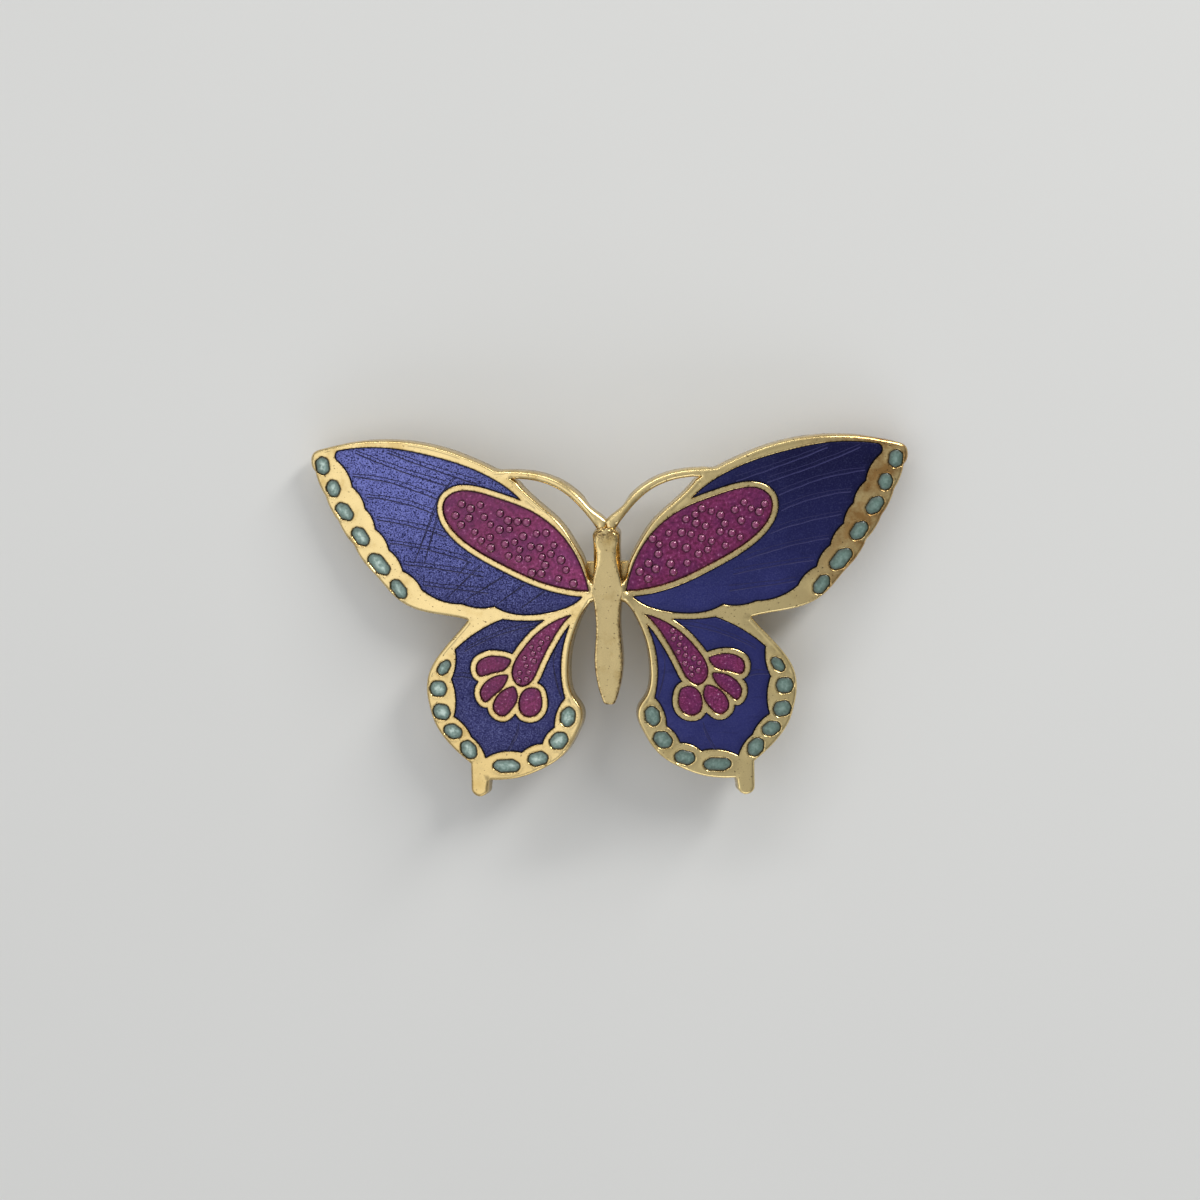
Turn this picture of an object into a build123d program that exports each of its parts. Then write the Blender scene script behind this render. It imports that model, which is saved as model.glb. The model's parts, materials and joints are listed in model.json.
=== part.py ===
from build123d import *
import math
import os

# A butterfly brooch: one struck brass plate with wings, body and feelers, sunk cells filled with enamel,
# and a pin-back of bar, hinged pin stem and rotating safety catch soldered behind it.
# X runs from wing tip to wing tip, Y towards the head, Z out of the enamelled face. All sizes in millimetres.
# Every outline is drawn for the right side (X > 0) about the waist, then mirrored.

# ---- overall size -----------------------------------------------------------------------------------
WING_SPAN = 42.7            # tip to tip
WING_HEIGHT = 25.6          # top of the forewings to the end of the tails
DRAWN_SPAN = 42.7           # the span and height that the outline points below are drawn at
DRAWN_HEIGHT = 25.6
DRAWN_MIDDLE = -1.53        # Y of the middle of the drawn height

# ---- plate ------------------------------------------------------------------------------------------
PLATE = 1.2                 # thickness of the struck plate
CELL_DEPTH = 0.5            # depth of the sunk cells
CELL_WALL = 0.42            # width of the metal wall between neighbouring cells
SPOT_CORNER = 0.7           # rounding of the corners of a spot, as a share of its half width
ENAMEL_DROP = 0.08          # how far the enamel lies below the metal
BEADED_DROP = 0.16          # the same for the beaded plum enamel, which is filled less
SADDLE = 1.2                # half width of the flat part of the plate, under the body
DOME_RADIUS = 194.7         # each wing bends back along one large arc
ROOT_SLOPE = 8.0            # degrees, slope of the wing where that arc starts
BODY_THICK = 1.9            # thorax and abdomen, front to back
BODY_RISE = 0.3             # how far the body stands above the plate
BODY_EDGE = 0.25            # chamfer round the top of the body

# ---- pin-back ---------------------------------------------------------------------------------------
BAR_LENGTH = 21.0
BAR_WIDTH = 2.8
BAR_THICK = 0.5
BAR_CORNER = 0.84           # radius of the bar's corners in plan
BAR_Y = 1.0                 # centre line of the bar, above the waist
BAR_GAP = 0.03              # solder film between the bar's ends and the wing backs
PAD_LENGTH = 3.2            # solder pads, measured in from the bar's ends
PAD_WIDTH = 2.2
PAD_INSET = 0.2
PIVOT_DEPTH = 1.7           # from the bar's back down to the stem's axis
PIVOT_INSET = 1.3           # from the bar's end to the hinge axis
CATCH_INSET = 1.5           # from the bar's end to the middle of the catch

STEM_RADIUS = 0.4
POINT_LENGTH = 1.3          # length of the ground point
POINT_RADIUS = 0.05
STEM_PAST_CATCH = 1.0       # how far the stem runs on beyond the catch
EYE_RADIUS = 0.85
EYE_WIDTH = 1.0
EYE_PLAY = 0.04             # side play of the eye between the ears
RIVET_RADIUS = 0.4
RIVET_PLAY = 0.03           # radial running clearance of the eye on the rivet
RIVET_HEAD = 0.62           # radius of the peened heads
HEAD_THICK = 0.22
EAR_THICK = 0.42
EAR_RADIUS = 0.9
EAR_BASE = 0.3              # thickness of the joint's base plate
EAR_BASE_LENGTH = 2.3

CATCH_LENGTH = 1.7          # along the stem
CATCH_WALL = 0.36
CATCH_FOOT = 1.5            # width of the foot between the catch and the bar
ROLLER_PLAY = 0.03          # radial running clearance of the roller in the housing
ROLLER_WALL = 0.38
STEM_PLAY = 0.14            # radial room round the stem inside the roller
MOUTH = 1.0                 # width of the slot that lets the stem out
FLANGE_THICK = 0.3
FLANGE_LIP = 0.2            # how far the flanges overlap the housing's bore
FLANGE_PLAY = 0.04
LEVER_LENGTH = 1.75         # from the roller's axis to the end of its lever
LEVER_WIDTH = 0.7
LEVER_REST = 45.0           # degrees above +Y with the catch unlocked

# ---- places worked out from the sizes above ---------------------------------------------------------
SCALE_X = WING_SPAN / DRAWN_SPAN
SCALE_Y = WING_HEIGHT / DRAWN_HEIGHT
SCALE_SPOT = min(SCALE_X, SCALE_Y)
ARC_X = SADDLE - DOME_RADIUS * math.sin(math.radians(ROOT_SLOPE))
ARC_DROP = DOME_RADIUS * math.cos(math.radians(ROOT_SLOPE))
REACH = WING_SPAN / 2 + 2
TALL = 4 * PLATE + 20
DEEP = WING_HEIGHT + 10
REDRAW_STEP = 0.8           # spacing of the points through which an offset outline is redrawn


def dome(x):
    """Height of the wing's front face at a distance x from the body's axis, 0 on the saddle."""
    if x <= SADDLE:
        return 0.0
    return math.sqrt(DOME_RADIUS ** 2 - (x - ARC_X) ** 2) - ARC_DROP


BAR_TOP = dome(BAR_LENGTH / 2) - PLATE - BAR_GAP
BAR_BACK = BAR_TOP - BAR_THICK
STEM_Z = BAR_BACK - PIVOT_DEPTH
PIVOT_X = BAR_LENGTH / 2 - PIVOT_INSET
CATCH_X = -(BAR_LENGTH / 2 - CATCH_INSET)
EAR_GAP = EYE_WIDTH + 2 * EYE_PLAY
ROLLER_BORE = STEM_RADIUS + STEM_PLAY
ROLLER_RADIUS = ROLLER_BORE + ROLLER_WALL
HOUSING_BORE = ROLLER_RADIUS + ROLLER_PLAY
HOUSING_RADIUS = HOUSING_BORE + CATCH_WALL
FLANGE_RADIUS = HOUSING_BORE + FLANGE_LIP
HOUSING_LIP = math.sqrt(HOUSING_RADIUS ** 2 - (MOUTH / 2) ** 2)     # the mouth cuts the housing's lowest line away
FLOOR = STEM_Z - max(HOUSING_LIP, EAR_RADIUS)
BAR_PLACE_Y = BAR_Y * SCALE_Y


# ---- drawing helpers --------------------------------------------------------------------------------
def spot_on_plan(point):
    return Vector(point[0] * SCALE_X, point[1] * SCALE_Y, 0)


def line(start, end):
    return Edge.make_line(spot_on_plan(start), spot_on_plan(end))


def curve(*points):
    return Edge.make_spline([spot_on_plan(p) for p in points])


def loop(*points):
    """One smooth closed outline."""
    return Face(Wire([Edge.make_spline([spot_on_plan(p) for p in points], periodic=True)]))


def lobe(start, end, bulge):
    """An arc from start to end that bulges to the left of its direction by a share of its length."""
    a = spot_on_plan(start)
    b = spot_on_plan(end)
    middle = (a + b) / 2
    across = Vector(a.Y - b.Y, b.X - a.X, 0)
    return Edge.make_three_point_arc(a, middle + across * bulge, b)


def lobes(cusps, bulge):
    return [lobe(a, b, bulge) for a, b in zip(cusps, cusps[1:])]


def plan(*edges):
    return Face(Wire(list(edges)))


def spot_plan(x, y, length, width, turn, flat=0.5, lean=0.0):
    """A six-sided spot with rounded corners, its long axis turned by some degrees from +X.
    Its two flat sides are a share of its length long, and lean shifts them apart along it."""
    a = length / 2 * SCALE_SPOT
    b = width / 2 * SCALE_SPOT
    corners = [(a, 0), ((flat + lean) * a, b), ((lean - flat) * a, b),
               (-a, 0), (-(flat + lean) * a, -b), ((flat - lean) * a, -b)]
    centre = spot_on_plan((x, y))
    outline = Face(Wire.make_polygon([Vector(*c, 0) for c in corners], close=True))
    rounded = outline.fillet_2d(SPOT_CORNER * b, outline.vertices())
    return Pos(centre.X, centre.Y, 0) * Rot(0, 0, turn) * rounded


def grown(face, wall):
    """An outline moved outwards by the width of a wall, redrawn with plain splines and arcs."""
    edges = []
    for edge in offset(face, wall).face().outer_wire().edges():
        if edge.geom_type == GeomType.CIRCLE:
            edges.append(edge)
            continue
        steps = max(2, math.ceil(edge.length / REDRAW_STEP))
        points = [edge @ (i / steps) for i in range(steps + 1)]
        edges.append(Edge.make_spline(points, tangents=[edge % 0, edge % 1]))
    return Face(Wire(edges))


def upright(face, low=-TALL, high=TALL):
    """The prism of a plan outline."""
    return Pos(0, 0, low) * Solid.extrude(face, Vector(0, 0, high - low))


def domed_slab(high, low):
    """The half space between two copies of the domed front face, moved up by high and by low."""
    def point(x, lift):
        return Vector(x, 0, dome(x) + lift)

    def bend(lift):
        middle = (SADDLE + REACH) / 2
        return Edge.make_three_point_arc(point(SADDLE, lift), point(middle, lift), point(REACH, lift))

    profile = Wire([
        Edge.make_line(point(0, high), point(SADDLE, high)),
        bend(high),
        Edge.make_line(point(REACH, high), point(REACH, low)),
        bend(low),
        Edge.make_line(point(SADDLE, low), point(0, low)),
        Edge.make_line(point(0, low), point(0, high)),
    ])
    return Pos(0, -DEEP, 0) * Solid.extrude(Face(profile), Vector(0, 2 * DEEP, 0))


def rod(radius, start, end, direction):
    """A cylinder between two coordinates along X or Y, on the axis through the origin."""
    turn = Rot(0, 90, 0) if direction == "X" else Rot(-90, 0, 0)
    body = turn * Cylinder(radius, end - start, align=(Align.CENTER, Align.CENTER, Align.MIN))
    return Pos(start, 0, 0) * body if direction == "X" else Pos(0, start, 0) * body


def block(x0, x1, y0, y1, z0, z1):
    return Pos((x0 + x1) / 2, (y0 + y1) / 2, (z0 + z1) / 2) * Box(x1 - x0, y1 - y0, z1 - z0)


# ---- plan outlines of the right side ----------------------------------------------------------------
def wing_plan():
    """Forewing and hindwing together, from the waist round the tips and the tail and back."""
    return plan(
        curve((0.0, 1.3), (0.6, 1.15), (1.0, 1.2), (1.5, 2.25), (2.2, 3.8), (3.2, 5.35), (4.7, 6.75), (6.4, 8.4)),
        line((6.4, 8.4), (7.5, 9.05)),
        curve((7.5, 9.05), (9.0, 9.72), (11.0, 10.5), (13.5, 11.1), (16.0, 11.27), (18.5, 11.05),
              (20.4, 10.62), (21.2, 10.25), (21.35, 9.75), (21.05, 8.95)),
        *lobes([(21.05, 8.95), (20.35, 7.2), (19.45, 5.4), (18.35, 3.7), (17.05, 1.8)], 0.05),
        curve((17.05, 1.8), (16.2, 0.85), (15.3, -0.1), (13.9, -0.85), (12.2, -1.2), (10.1, -1.55)),
        curve((10.1, -1.55), (11.1, -2.7), (12.3, -4.1), (13.05, -5.4), (13.25, -6.6), (13.05, -8.0),
              (12.7, -9.1), (12.0, -10.2), (11.1, -11.15), (10.15, -11.95)),
        line((10.15, -11.95), (10.15, -13.7)),
        curve((10.15, -13.7), (9.98, -14.15), (9.55, -14.33), (9.12, -14.15), (8.95, -13.7)),
        line((8.95, -13.7), (8.85, -13.1)),
        curve((8.85, -13.1), (7.9, -13.08), (6.6, -12.88), (5.2, -12.35), (3.9, -11.6), (2.95, -10.6),
              (2.35, -9.5), (1.98, -8.5), (2.1, -7.7), (2.6, -6.95), (2.88, -6.1), (2.92, -4.8),
              (2.7, -3.2), (2.2, -1.75), (1.65, -0.7), (1.1, -0.12), (0.0, 0.1)),
        line((0.0, 0.1), (0.0, 1.3)),
    )


def feeler_plan():
    return plan(
        curve((0.0, 5.3), (0.35, 5.62), (1.25, 6.75), (2.8, 8.2), (4.6, 8.98), (6.2, 9.2), (7.9, 9.2)),
        line((7.9, 9.2), (7.4, 8.6)),
        curve((7.4, 8.6), (6.1, 8.6), (4.8, 8.42), (3.1, 7.7), (1.6, 6.3), (0.75, 5.2), (0.5, 4.8)),
        line((0.5, 4.8), (0.0, 4.8)),
        line((0.0, 4.8), (0.0, 5.3)),
    )


def body_plan():
    return plan(
        curve((0.0, 5.42), (0.55, 5.36), (0.88, 5.02), (0.95, 4.2), (0.93, 3.0), (0.97, 1.7), (1.03, 0.9),
              (0.97, -0.1), (0.87, -1.2), (0.86, -2.2), (0.95, -3.4), (1.0, -4.4), (0.91, -5.5),
              (0.7, -6.5), (0.48, -7.2)),
        curve((0.48, -7.2), (0.33, -7.42), (0.0, -7.48)),
        line((0.0, -7.48), (0.0, 5.42)),
    )


def plum_oval():
    return plan(
        curve((1.32, 0.62), (1.6, 1.75), (2.55, 3.8), (3.9, 5.35), (5.6, 6.45), (7.8, 7.25), (9.6, 7.72),
              (10.9, 7.62), (11.65, 6.95), (11.7, 6.05), (11.0, 4.8), (9.6, 3.62), (7.4, 2.4),
              (5.0, 1.32), (3.0, 0.78), (1.32, 0.62)),
    )


def fore_blue_outline():
    return plan(
        curve((1.6, 0.45), (2.4, -0.28), (3.6, -0.78), (5.2, -1.08), (6.6, -1.08), (8.15, -0.55)),
        curve((8.15, -0.55), (9.3, -0.66), (10.5, -0.4)),
        curve((10.5, -0.4), (12.2, -0.12), (13.45, 0.6)),
        *lobes([(13.45, 0.6), (14.8, 1.9), (15.78, 3.4), (16.75, 4.9), (17.45, 6.35), (18.35, 7.9),
                (19.45, 9.8)], 0.1),
        curve((19.45, 9.8), (19.55, 10.2), (19.35, 10.5)),
        curve((19.35, 10.5), (17.6, 10.74), (15.5, 10.72), (13.2, 10.35), (10.6, 9.68), (8.4, 8.78),
              (7.0, 7.92), (5.85, 6.85)),
        curve((5.85, 6.85), (5.0, 5.6), (3.2, 3.0), (1.6, 0.45)),
    )


def teardrop():
    return plan(
        curve((2.62, -1.08), (3.9, -1.58), (5.2, -2.5), (6.3, -3.75), (6.95, -4.95), (6.9, -5.8),
              (6.3, -6.28), (5.7, -6.0), (5.05, -4.9), (4.1, -3.05), (2.62, -1.08)),
    )


def petals():
    return [
        loop((7.15, -4.3), (8.1, -4.1), (9.1, -4.3), (9.58, -4.85), (9.4, -5.55), (8.5, -5.38), (7.4, -4.98)),
        loop((7.4, -5.45), (8.3, -5.6), (9.1, -6.2), (9.35, -6.9), (9.0, -7.45), (8.5, -7.1), (7.5, -6.1)),
        loop((7.0, -6.3), (7.7, -6.6), (8.3, -7.3), (8.4, -8.0), (7.8, -8.45), (7.05, -7.9), (6.65, -6.8)),
        loop((5.35, -6.38), (6.25, -6.65), (6.55, -7.4), (6.3, -8.3), (5.6, -8.45), (4.98, -7.95), (4.9, -7.0)),
    ]


def hind_blue_outline():
    return plan(
        curve((4.25, -1.45), (6.0, -1.55), (7.6, -1.45)),
        curve((7.6, -1.45), (9.3, -2.3), (11.1, -3.7)),
        *lobes([(11.1, -3.7), (11.42, -5.85), (11.3, -8.55), (10.05, -10.0), (9.05, -11.5)], -0.08),
        *lobes([(9.05, -11.5), (6.4, -11.05), (4.9, -10.4), (4.0, -9.2), (3.2, -7.1)], -0.1),
        curve((3.2, -7.1), (3.42, -5.8), (3.4, -4.2), (3.1, -2.8), (2.72, -1.72)),
        line((2.72, -1.72), (4.25, -1.45)),
    )


def wing_cells():
    """Cell name to plan outline, for the right side."""
    oval_cell = plum_oval()
    drop = teardrop()
    leaves = petals()
    walled = [grown(f, CELL_WALL) for f in [drop] + leaves]
    palmette = walled[0].fuse(*walled[1:])
    fore_spots = [(20.5, 9.4, 1.4, 0.98, 82, 0.6), (19.75, 7.78, 1.42, 1.0, 66, 0.45, 0.1),
                  (18.97, 6.12, 1.68, 1.0, 57, 0.5, -0.15), (17.83, 4.35, 1.74, 1.0, 57, 0.5, -0.1),
                  (16.52, 2.37, 2.1, 1.06, 52, 0.55, -0.15), (15.12, 0.6, 1.85, 0.92, 50, 0.45, 0.05)]
    hind_spots = [(11.95, -5.02, 1.5, 0.76, 118, 0.4, 0.15), (12.4, -6.55, 1.3, 1.12, 0, 0.66),
                  (12.2, -8.22, 1.34, 1.1, 8, 0.66, 0.08), (11.4, -9.62, 1.5, 1.02, 38, 0.5, -0.15),
                  (10.28, -10.92, 1.66, 1.08, 42, 0.42, 0.12), (7.55, -12.05, 2.35, 0.92, -4, 0.5, 0.08),
                  (5.25, -11.48, 1.65, 0.98, -16, 0.55, 0.05), (3.72, -10.15, 1.6, 1.12, -52, 0.5, 0.1),
                  (3.02, -8.42, 1.75, 1.04, 96, 0.42, 0.08)]
    cells = {
        "forewing_blue": fore_blue_outline().cut(grown(oval_cell, CELL_WALL)),
        "forewing_plum": oval_cell,
        "hindwing_blue": hind_blue_outline().cut(palmette),
        "hindwing_teardrop": drop,
    }
    for number, leaf in enumerate(leaves, 1):
        cells[f"hindwing_petal_{number}"] = leaf
    for number, spot in enumerate(fore_spots, 1):
        cells[f"forewing_spot_{number}"] = spot_plan(*spot)
    for number, spot in enumerate(hind_spots, 1):
        cells[f"hindwing_spot_{number}"] = spot_plan(*spot)
    return cells


# ---- plate and enamel -------------------------------------------------------------------------------
def body_half():
    face = body_plan()
    tall = upright(face, -BODY_THICK, BODY_RISE)
    rim = tall.faces().sort_by(Axis.Z)[-1].edges()
    return chamfer([e for e in rim if e.center().X > 0.01], BODY_EDGE)


def butterfly_base(cells):
    """The struck plate: both wings, feelers and body in one piece, with every cell sunk in it."""
    slab = domed_slab(0, -PLATE)
    half = slab & upright(wing_plan())
    half = half + (slab & upright(feeler_plan())) + body_half()
    sunk = domed_slab(TALL / 2, -CELL_DEPTH)
    for face in cells.values():
        for piece in face.faces():
            half = half - (sunk & upright(piece))
    return half + mirror(half, about=Plane.YZ)


def enamel(face, drop):
    """The enamel that fills one cell. A cell cut in two by a wall gives two separate solids."""
    slab = domed_slab(-drop, -CELL_DEPTH)
    pieces = [slab & upright(piece) for piece in face.faces()]
    return Compound(children=[s for piece in pieces for s in piece.solids()])


# ---- pin-back ---------------------------------------------------------------------------------------
def pin_bar():
    half_width = BAR_WIDTH / 2
    bar = block(-BAR_LENGTH / 2, BAR_LENGTH / 2, -half_width, half_width, BAR_BACK, BAR_TOP)
    return fillet(bar.edges().filter_by(Axis.Z), BAR_CORNER)


def solder_pad():
    """Solder between the bar and the back of the right wing."""
    end = BAR_LENGTH / 2 - PAD_INSET
    column = block(end - PAD_LENGTH, end, -PAD_WIDTH / 2, PAD_WIDTH / 2, BAR_TOP, 0)
    return column - domed_slab(TALL / 2, -PLATE)


def pin_joint():
    """Base plate and two ears that hold the rivet, in its own place about the hinge axis."""
    outer = EAR_GAP / 2 + EAR_THICK
    base = block(-EAR_BASE_LENGTH / 2, EAR_BASE_LENGTH / 2, -outer, outer, PIVOT_DEPTH - EAR_BASE, PIVOT_DEPTH)
    ear = block(-EAR_RADIUS, EAR_RADIUS, -outer, outer, 0, PIVOT_DEPTH - EAR_BASE)
    ear = ear + rod(EAR_RADIUS, -outer, outer, "Y")
    gap = block(-2 * EAR_RADIUS, 2 * EAR_RADIUS, -EAR_GAP / 2, EAR_GAP / 2, -2 * EAR_RADIUS,
                PIVOT_DEPTH - EAR_BASE)
    return base + (ear - gap) - rod(RIVET_RADIUS, -outer, outer, "Y")


def hinge_rivet():
    outer = EAR_GAP / 2 + EAR_THICK
    shank = rod(RIVET_RADIUS, -outer, outer, "Y")
    near_head = rod(RIVET_HEAD, -outer - HEAD_THICK, -outer, "Y")
    far_head = rod(RIVET_HEAD, outer, outer + HEAD_THICK, "Y")
    return near_head + shank + far_head


def pin_stem():
    """Wire with a flat eye at the hinge and a ground point past the catch, along -X from the hinge."""
    run = PIVOT_X - CATCH_X + CATCH_LENGTH / 2 + FLANGE_THICK + STEM_PAST_CATCH
    eye = rod(EYE_RADIUS, -EYE_WIDTH / 2, EYE_WIDTH / 2, "Y")
    wire = rod(STEM_RADIUS, POINT_LENGTH - run, 0, "X")
    point = Rot(0, -90, 0) * Cone(STEM_RADIUS, POINT_RADIUS, POINT_LENGTH,
                                  align=(Align.CENTER, Align.CENTER, Align.MIN))
    stem = eye + wire + Pos(POINT_LENGTH - run, 0, 0) * point
    return stem - rod(RIVET_RADIUS + RIVET_PLAY, -EYE_WIDTH, EYE_WIDTH, "Y")


def mouth(reach, length):
    """The straight slot down which the stem leaves the catch."""
    return block(-length, length, -MOUTH / 2, MOUTH / 2, -reach, 0)


def catch_housing():
    half = CATCH_LENGTH / 2
    foot = block(-half, half, -CATCH_FOOT / 2, CATCH_FOOT / 2, 0, PIVOT_DEPTH)
    shell = foot + rod(HOUSING_RADIUS, -half, half, "X")
    return shell - rod(HOUSING_BORE, -half, half, "X") - mouth(2 * HOUSING_RADIUS, CATCH_LENGTH)


def catch_roller():
    """Slotted roller with a flange at each end and the lever that turns it."""
    inner = CATCH_LENGTH / 2 + FLANGE_PLAY
    outer = inner + FLANGE_THICK
    drum = rod(ROLLER_RADIUS, -outer, outer, "X")
    flanges = rod(FLANGE_RADIUS, -outer, -inner, "X") + rod(FLANGE_RADIUS, inner, outer, "X")
    lever = block(-outer, -inner, 0, LEVER_LENGTH - LEVER_WIDTH / 2, -LEVER_WIDTH / 2, LEVER_WIDTH / 2)
    lever = lever + Pos(0, LEVER_LENGTH - LEVER_WIDTH / 2, 0) * rod(LEVER_WIDTH / 2, -outer, -inner, "X")
    roller = drum + flanges + Rot(LEVER_REST, 0, 0) * lever
    return roller - rod(ROLLER_BORE, -2 * outer, 2 * outer, "X") - mouth(2 * HOUSING_RADIUS, 2 * outer)


# ---- write the parts --------------------------------------------------------------------------------
def placed(shape):
    """Moves a shape from the waist to the row's origin, under the middle of the outline."""
    return Pos(0, -DRAWN_MIDDLE * SCALE_Y, -FLOOR) * shape


def write(name, shape):
    solids = placed(shape).solids()
    out = solids[0] if len(solids) == 1 else Compound(children=solids)
    export_step(out, f"parts/{name}.step")


def main():
    os.makedirs("parts", exist_ok=True)
    cells = wing_cells()
    write("butterfly_base", butterfly_base(cells))
    for name, face in cells.items():
        beaded = "plum" in name or "petal" in name or "teardrop" in name
        fill = enamel(face, BEADED_DROP if beaded else ENAMEL_DROP)
        write("right_" + name, fill)
        write("left_" + name, mirror(fill, about=Plane.YZ))

    on_bar = Pos(0, BAR_PLACE_Y, 0)
    at_pivot = Pos(PIVOT_X, BAR_PLACE_Y, STEM_Z)
    at_catch = Pos(CATCH_X, BAR_PLACE_Y, STEM_Z)
    write("pin_bar", on_bar * pin_bar())
    write("right_solder_pad", on_bar * solder_pad())
    write("left_solder_pad", mirror(on_bar * solder_pad(), about=Plane.YZ))
    write("pin_joint", at_pivot * pin_joint())
    write("hinge_rivet", at_pivot * hinge_rivet())
    write("pin_stem", at_pivot * pin_stem())
    write("catch_housing", at_catch * catch_housing())
    write("catch_roller", at_catch * catch_roller())
    pivot = (PIVOT_X, BAR_PLACE_Y - DRAWN_MIDDLE * SCALE_Y, STEM_Z - FLOOR)
    catch = (CATCH_X, BAR_PLACE_Y - DRAWN_MIDDLE * SCALE_Y, STEM_Z - FLOOR)
    print("pin hinge axis at", pivot, "catch axis at", catch)


main()
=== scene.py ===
import json
import math
import random

import bmesh
import bpy
import numpy as np
from mathutils import Matrix, Vector, kdtree, noise
from mathutils.geometry import delaunay_2d_cdt

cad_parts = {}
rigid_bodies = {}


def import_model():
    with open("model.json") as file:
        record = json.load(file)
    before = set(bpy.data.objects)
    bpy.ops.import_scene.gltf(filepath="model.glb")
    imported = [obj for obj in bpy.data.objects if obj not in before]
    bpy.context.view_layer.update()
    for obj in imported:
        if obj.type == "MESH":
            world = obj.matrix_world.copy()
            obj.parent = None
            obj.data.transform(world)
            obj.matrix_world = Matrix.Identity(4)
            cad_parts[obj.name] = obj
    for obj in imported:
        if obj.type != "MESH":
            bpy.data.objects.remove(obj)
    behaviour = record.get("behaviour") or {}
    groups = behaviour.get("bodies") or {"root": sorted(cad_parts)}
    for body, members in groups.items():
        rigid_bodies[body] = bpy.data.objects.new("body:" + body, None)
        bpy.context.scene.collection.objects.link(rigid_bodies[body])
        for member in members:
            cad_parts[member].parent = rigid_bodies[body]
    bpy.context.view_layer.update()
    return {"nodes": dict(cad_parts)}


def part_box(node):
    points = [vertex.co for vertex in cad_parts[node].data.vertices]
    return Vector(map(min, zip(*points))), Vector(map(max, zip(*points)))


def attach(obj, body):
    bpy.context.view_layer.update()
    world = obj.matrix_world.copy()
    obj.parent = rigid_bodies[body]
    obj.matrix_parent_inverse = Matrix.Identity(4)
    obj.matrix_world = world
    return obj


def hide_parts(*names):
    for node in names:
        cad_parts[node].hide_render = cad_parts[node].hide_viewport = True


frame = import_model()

# Looks of an enamelled butterfly brooch. Plan work is in millimetres, meshes are in metres.
# The plate and the enamel are made once, for the right wing, and mirrored to the left.

MM = 0.001
WELD = 2e-6             # points of the frame closer than this are one, in metres

# ---- shape of the struck plate, as the frame has it
SADDLE = 1.2            # half width of the flat middle
DOME_RADIUS = 194.7     # each wing bends back along this arc
ROOT_SLOPE = math.radians(8.0)  # slope of a wing where it leaves the flat middle
PLATE = 1.2             # thickness
CELL_DEPTH = 0.5        # depth of the sunk fields that hold the enamel
BODY_RISE = 0.3         # how far the body stands out in front of the plate
BODY_THICK = 1.9        # from the plate's front face to the body's back
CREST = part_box("butterfly_base")[1][2] / MM - BODY_RISE  # height of the plate's front face
WAIST_Y = 1.53          # where the drawn waist lies in the frame
ROOT_Y = 0.65           # the wings join the body here, above the waist

# ---- surface detail
EDGE_STEP = 0.09        # spacing of the points along every edge
RIM_ROUND = 0.19        # rounding of the outer edge of the wings
FEELER_ROUND = 0.27     # rounding of the feelers, which look like drawn wire
RIM_GROOVE = 0.035      # depth of the groove inside the rim, on the edges that face the head
CELL_ROUND = 0.07       # rounding of the metal beside the enamel
BACK_ROUND = 0.12       # rounding of the plate's back edge
BODY_BACK_ROUND = 0.2   # rounding of the body's back edge
SPOT_RING = 0.025       # height of the bead of metal round each teal spot
BED_CLEAR = 0.02        # how far the sunk metal lies below the back of the enamel
WEB_RISE = 0.75 * BODY_RISE  # how far the roots of the wings climb the side of the body
FEELER_MEET = 0.42      # how far the inner edges of the feelers run together at their roots
HEAD_DROP = 0.22        # how far the top of the head lies below the frame's, to show that join
GLASS_DROP = {"blue": 0.05, "plum": 0.13, "teal": 0.05}  # how far each enamel lies below the metal
GLASS_NET = {"blue": 0.5, "plum": 0.28, "teal": 0.28}  # spacing of the net inside each enamel
# The dark line round each enamel is painted shade beside the cell wall, where the glass also lies
# deeper.
GLASS_LINE = {"blue": 0.09, "plum": 0.09, "teal": 0.13}  # width of the dark line round each enamel
GLASS_CROWN = {"blue": 0.0, "plum": 0.0, "teal": 0.03}  # how far each enamel swells in the middle
GLASS_MENISCUS = 0.05   # how far the enamel sinks where it meets the metal
GLASS_WAVE = 0.02       # unevenness of the ground enamel
BEADED = {"forewing_plum": (0.62, 0.32), "hindwing_teardrop": (0.44, 0.22)}  # spacing and radius
CLEAN_STAIN = 0.15      # how stained the metal is away from its corners


def clamped(t):
    return max(0.0, min(1.0, t))


def smooth(t):
    """An eased step from 0 to 1."""
    t = clamped(t)
    return t * t * (3 - 2 * t)


def hump(at, middle, width, power=2):
    """A bell that is 1 at the middle and fades within a few widths."""
    return math.exp(-((at - middle) / width) ** power)


def dome(x):
    """Height of the plate's front face over its middle."""
    x = abs(x)
    if x <= SADDLE:
        return 0.0
    centre = SADDLE - DOME_RADIUS * math.sin(ROOT_SLOPE)
    return math.sqrt(DOME_RADIUS ** 2 - (x - centre) ** 2) - DOME_RADIUS * math.cos(ROOT_SLOPE)


def wall_lean(x):
    """How far nearer the body the back of the plate's edge lies, as the wings are bent back."""
    x = abs(x)
    if x <= SADDLE:
        return 0.0
    centre = SADDLE - DOME_RADIUS * math.sin(ROOT_SLOPE)
    return PLATE * (x - centre) / DOME_RADIUS * min(1.0, (x - SADDLE) / 0.6)


# ---- outlines read from the frame
FEWEST_CORNERS = 6      # an outline with fewer corners is a stray face
CORNER_COSINE = 0.9     # an outline that turns by more than this has a corner there
INSIDE_BATCH = 1500     # points tested at a time


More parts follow.
